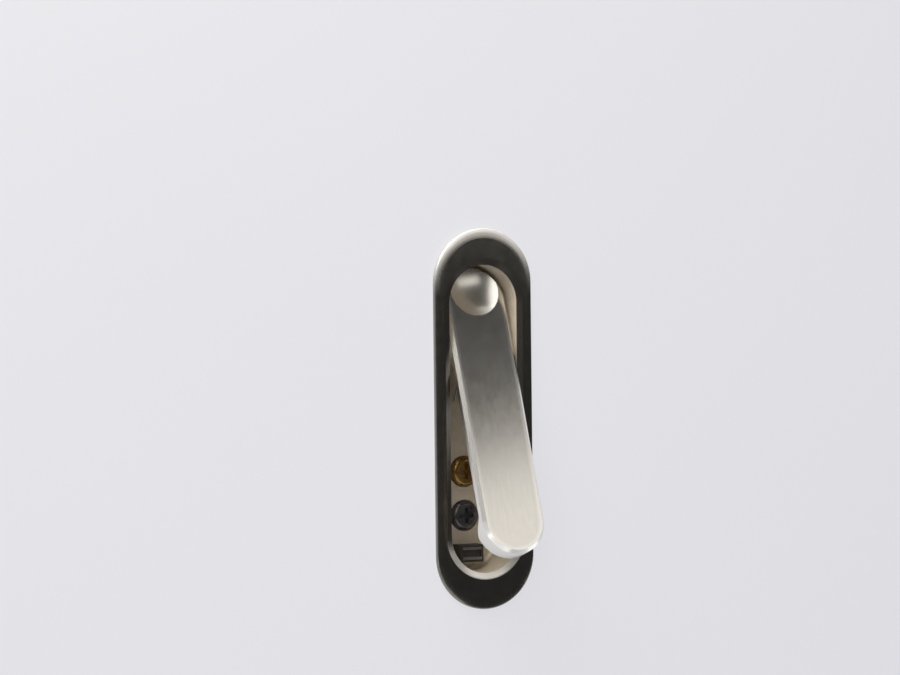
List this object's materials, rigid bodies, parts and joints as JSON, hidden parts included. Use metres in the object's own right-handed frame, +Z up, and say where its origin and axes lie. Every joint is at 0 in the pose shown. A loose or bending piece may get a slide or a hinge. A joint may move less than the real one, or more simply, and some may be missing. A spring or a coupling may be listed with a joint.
{
  "type": "pocket door pull",
  "caption": "Flush pull for the edge of a pocket door: a round-ended face plate and cup with a sprung lever that tips out when its dished upper end is pressed.",
  "frame": {"origin": "middle of the face plate on the plane of the door's edge face, where the recess is let in", "axes": "+Z up along the plate's length, +Y into the door, X across the door's edge; the front faces -Y"},
  "size_m": [0.046, 0.0821, 0.16],
  "materials": {
    "dark_satin_plate": "dark satin metal with a paler worn outer edge",
    "cast_cup": "satin plated casting",
    "satin_lever": "satin brushed, with a polished chamfer",
    "plated_steel": "bright zinc plate",
    "acetal_bush": "off-white moulded",
    "spring_steel": "drawn wire",
    "buffer_rubber": "matt black",
    "case_plastic": "matt black moulded",
    "ferrite": "dark grey sintered block",
    "yellow_screw": "yellow passivated",
    "black_screw": "black finish, worn on its edges"
  },
  "bodies": {
    "housing": {"face_plate": "dark_satin_plate", "cup": "cast_cup", "hinge_pin": "plated_steel", "torsion_spring": "spring_steel", "heel_buffer": "buffer_rubber", "catch_case": "case_plastic", "catch_magnet": "ferrite", "upper_pole_plate": "plated_steel", "lower_pole_plate": "plated_steel", "upper_fixing_screw": "yellow_screw", "lower_fixing_screw": "black_screw"},
    "lever_arm": {"lever": "satin_lever", "striker": "plated_steel", "left_hinge_bush": "acetal_bush", "right_hinge_bush": "acetal_bush"}
  },
  "joints": [
    {"name": "lever_swing", "type": "hinge", "parent": "housing", "child": "lever_arm", "pos_m": [0, 0.007, 0.029], "axis": [1, 0, 0], "range_deg": [0, 19.3], "stiffness_Nm_per_rad": 0.15, "springref_deg": -20.05, "deforming": ["torsion_spring"]}
  ]
}
